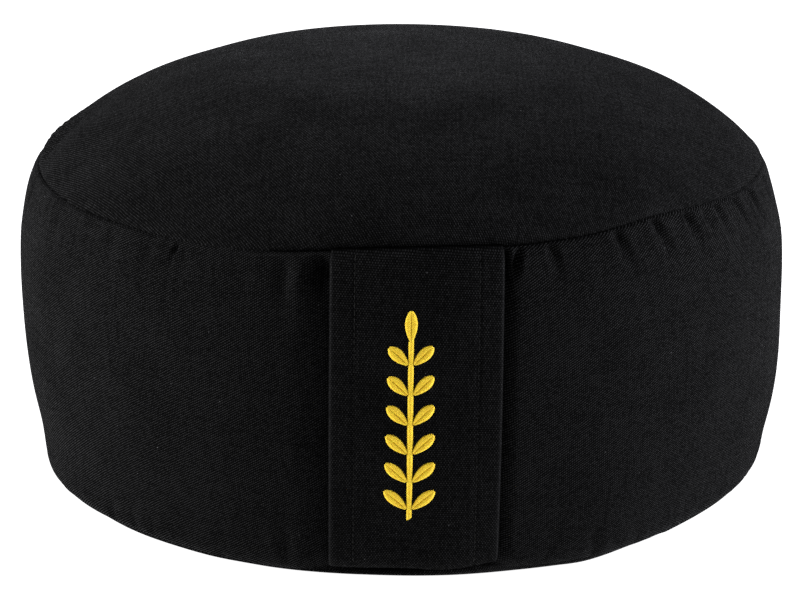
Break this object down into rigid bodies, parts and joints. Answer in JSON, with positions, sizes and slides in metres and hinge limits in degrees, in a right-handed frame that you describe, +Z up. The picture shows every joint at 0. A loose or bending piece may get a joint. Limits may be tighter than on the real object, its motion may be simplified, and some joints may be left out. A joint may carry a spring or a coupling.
{
  "type": "meditation cushion",
  "caption": "Round filled floor cushion with a crowned top, gathered side band and a carry strap sewn down its front from seam to seam.",
  "frame": {"origin": "centre of the flat face that the cushion rests on", "axes": "+Z up out of the crown, -Y towards the side that carries the strap, +X to the right seen from there"},
  "size_m": [0.3492, 0.3532, 0.1935],
  "materials": {
    "cushion_canvas": "black cotton canvas, plain weave, matt",
    "strap_canvas": "black cotton canvas, doubled, topstitched along its edges",
    "embroidery_thread": "golden yellow embroidery thread, satin stitch, soft sheen"
  },
  "bodies": {
    "root": {"cushion": "cushion_canvas", "carry_strap": "strap_canvas"}
  },
  "joints": []
}
